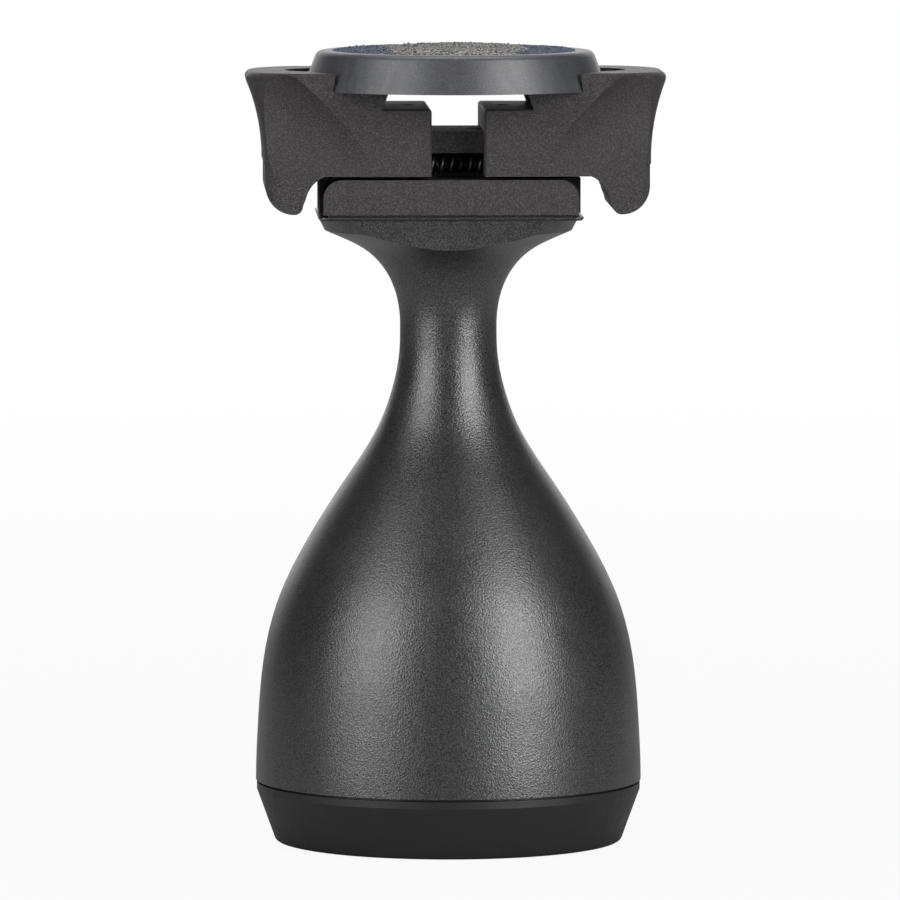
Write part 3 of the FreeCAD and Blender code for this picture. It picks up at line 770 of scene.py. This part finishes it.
def white_surroundings():
    """A white backdrop behind the handle in a dim room, white wherever it is looked at directly."""
    backdrop_edge, backdrop_middle = 0.78, 0.97
    world = bpy.data.worlds.new("plain studio")
    bpy.context.scene.world = world
    world.use_nodes = True
    kit = NodeKit(world.node_tree)
    rays = kit.nodes.new("ShaderNodeLightPath").outputs
    direction = kit.nodes.new("ShaderNodeTexCoord").outputs["Generated"]
    backward = kit.add("ShaderNodeSeparateXYZ", {"Vector": direction}).outputs["Y"]
    mirrored = kit.ranged(
        backward, backdrop_edge, backdrop_middle, MIRRORED_STRENGTH, 1.0, "SMOOTHSTEP")
    lit = kit.switched(rays["Is Glossy Ray"], off=ROOM_STRENGTH, on=mirrored)
    seen = kit.reckoned("MAXIMUM", rays["Is Camera Ray"], rays["Is Transmission Ray"])
    background = kit.nodes["Background"].inputs
    kit.feed(background["Color"], WHITE)
    kit.feed(background["Strength"], kit.switched(seen, off=lit, on=1.0))


def pale_floor():
    """A pale floor that fades into white away from the handle and keeps a faint shadow."""
    floor_width = 8.0
    floor_drop = 0.02 * MILLIMETRE
    fade_start, fade_end = 0.05, 0.7
    near_whiteness = 0.93
    bpy.ops.mesh.primitive_plane_add(size=floor_width, location=(0, 0, -floor_drop))
    floor = start_piece("stage_floor")
    finish = Finish("pale floor", tuple(colours().floor), roughness=0.9, specular=0.1)
    distance = finish.add("ShaderNodeVectorMath", {0: finish.place}, operation="LENGTH")
    whiteness = finish.ranged(
        distance.outputs["Value"], fade_start, fade_end, near_whiteness, 1.0, "SMOOTHSTEP")
    looked_at = finish.nodes.new("ShaderNodeLightPath").outputs["Is Camera Ray"]
    white = finish.add("ShaderNodeEmission", {"Color": WHITE})
    fade = finish.add("ShaderNodeMixShader", {
        "Fac": finish.switched(looked_at, off=0.0, on=whiteness),
        1: finish.shader.outputs["BSDF"],
        2: white.outputs["Emission"],
    })
    finish.feed(finish.nodes["Material Output"].inputs["Surface"], fade.outputs["Shader"])
    floor.data.materials.append(finish.material)


class HANDLE_OT_set_stage(bpy.types.Operator):
    """Set up the pale floor, the soft lamps and the camera"""

    bl_idname = "painting_handle.set_stage"
    bl_label = "Set Stage"

    def execute(self, context):
        scene = context.scene
        scene.view_settings.view_transform = "Standard"
        white_surroundings()
        pale_floor()
        soft_box(
            "left_soft_box", around(-52, LAMP_REACH, SIDE_LAMP_HEIGHT),
            width=0.46, height=0.6, power=3.4)
        soft_box(
            "right_soft_box", around(45, LAMP_REACH, SIDE_LAMP_HEIGHT),
            width=0.40, height=0.6, power=4.8)
        soft_box("top_soft_box", (0, 0.12, 0.85), width=0.8, height=0.5, power=3.8)
        soft_box("back_soft_box", around(180, LAMP_REACH, 0.30), width=0.7, height=0.5, power=0.6)
        scene.camera = photo_camera()
        return {"FINISHED"}


class HANDLE_PT_sidebar(bpy.types.Panel):
    bl_label = "Painting Handle"
    bl_space_type = "VIEW_3D"
    bl_region_type = "UI"
    bl_category = "Handle"

    def draw(self, context):
        layout = self.layout
        for operator in OPERATORS:
            layout.operator(operator.bl_idname)
        for group in (sizes(), colours()):
            box = layout.box()
            for name in group.__annotations__:
                box.prop(group, name)


OPERATORS = (
    HANDLE_OT_finish_grip,
    HANDLE_OT_finish_clamp,
    HANDLE_OT_finish_fasteners,
    HANDLE_OT_wind_springs,
    HANDLE_OT_finish_held_base,
    HANDLE_OT_add_basing,
    HANDLE_OT_set_stage,
)
CLASSES = (HandleSizes, HandleColours, *OPERATORS, HANDLE_PT_sidebar)


def register():
    for cls in CLASSES:
        bpy.utils.register_class(cls)
    bpy.types.Scene.painting_handle_sizes = bpy.props.PointerProperty(type=HandleSizes)
    bpy.types.Scene.painting_handle_colours = bpy.props.PointerProperty(type=HandleColours)


def unregister():
    del bpy.types.Scene.painting_handle_colours
    del bpy.types.Scene.painting_handle_sizes
    for cls in reversed(CLASSES):
        bpy.utils.unregister_class(cls)


def main():
    register()
    for operator in OPERATORS:
        group, name = operator.bl_idname.split(".")
        getattr(getattr(bpy.ops, group), name)()


if __name__ == "__main__":
    main()
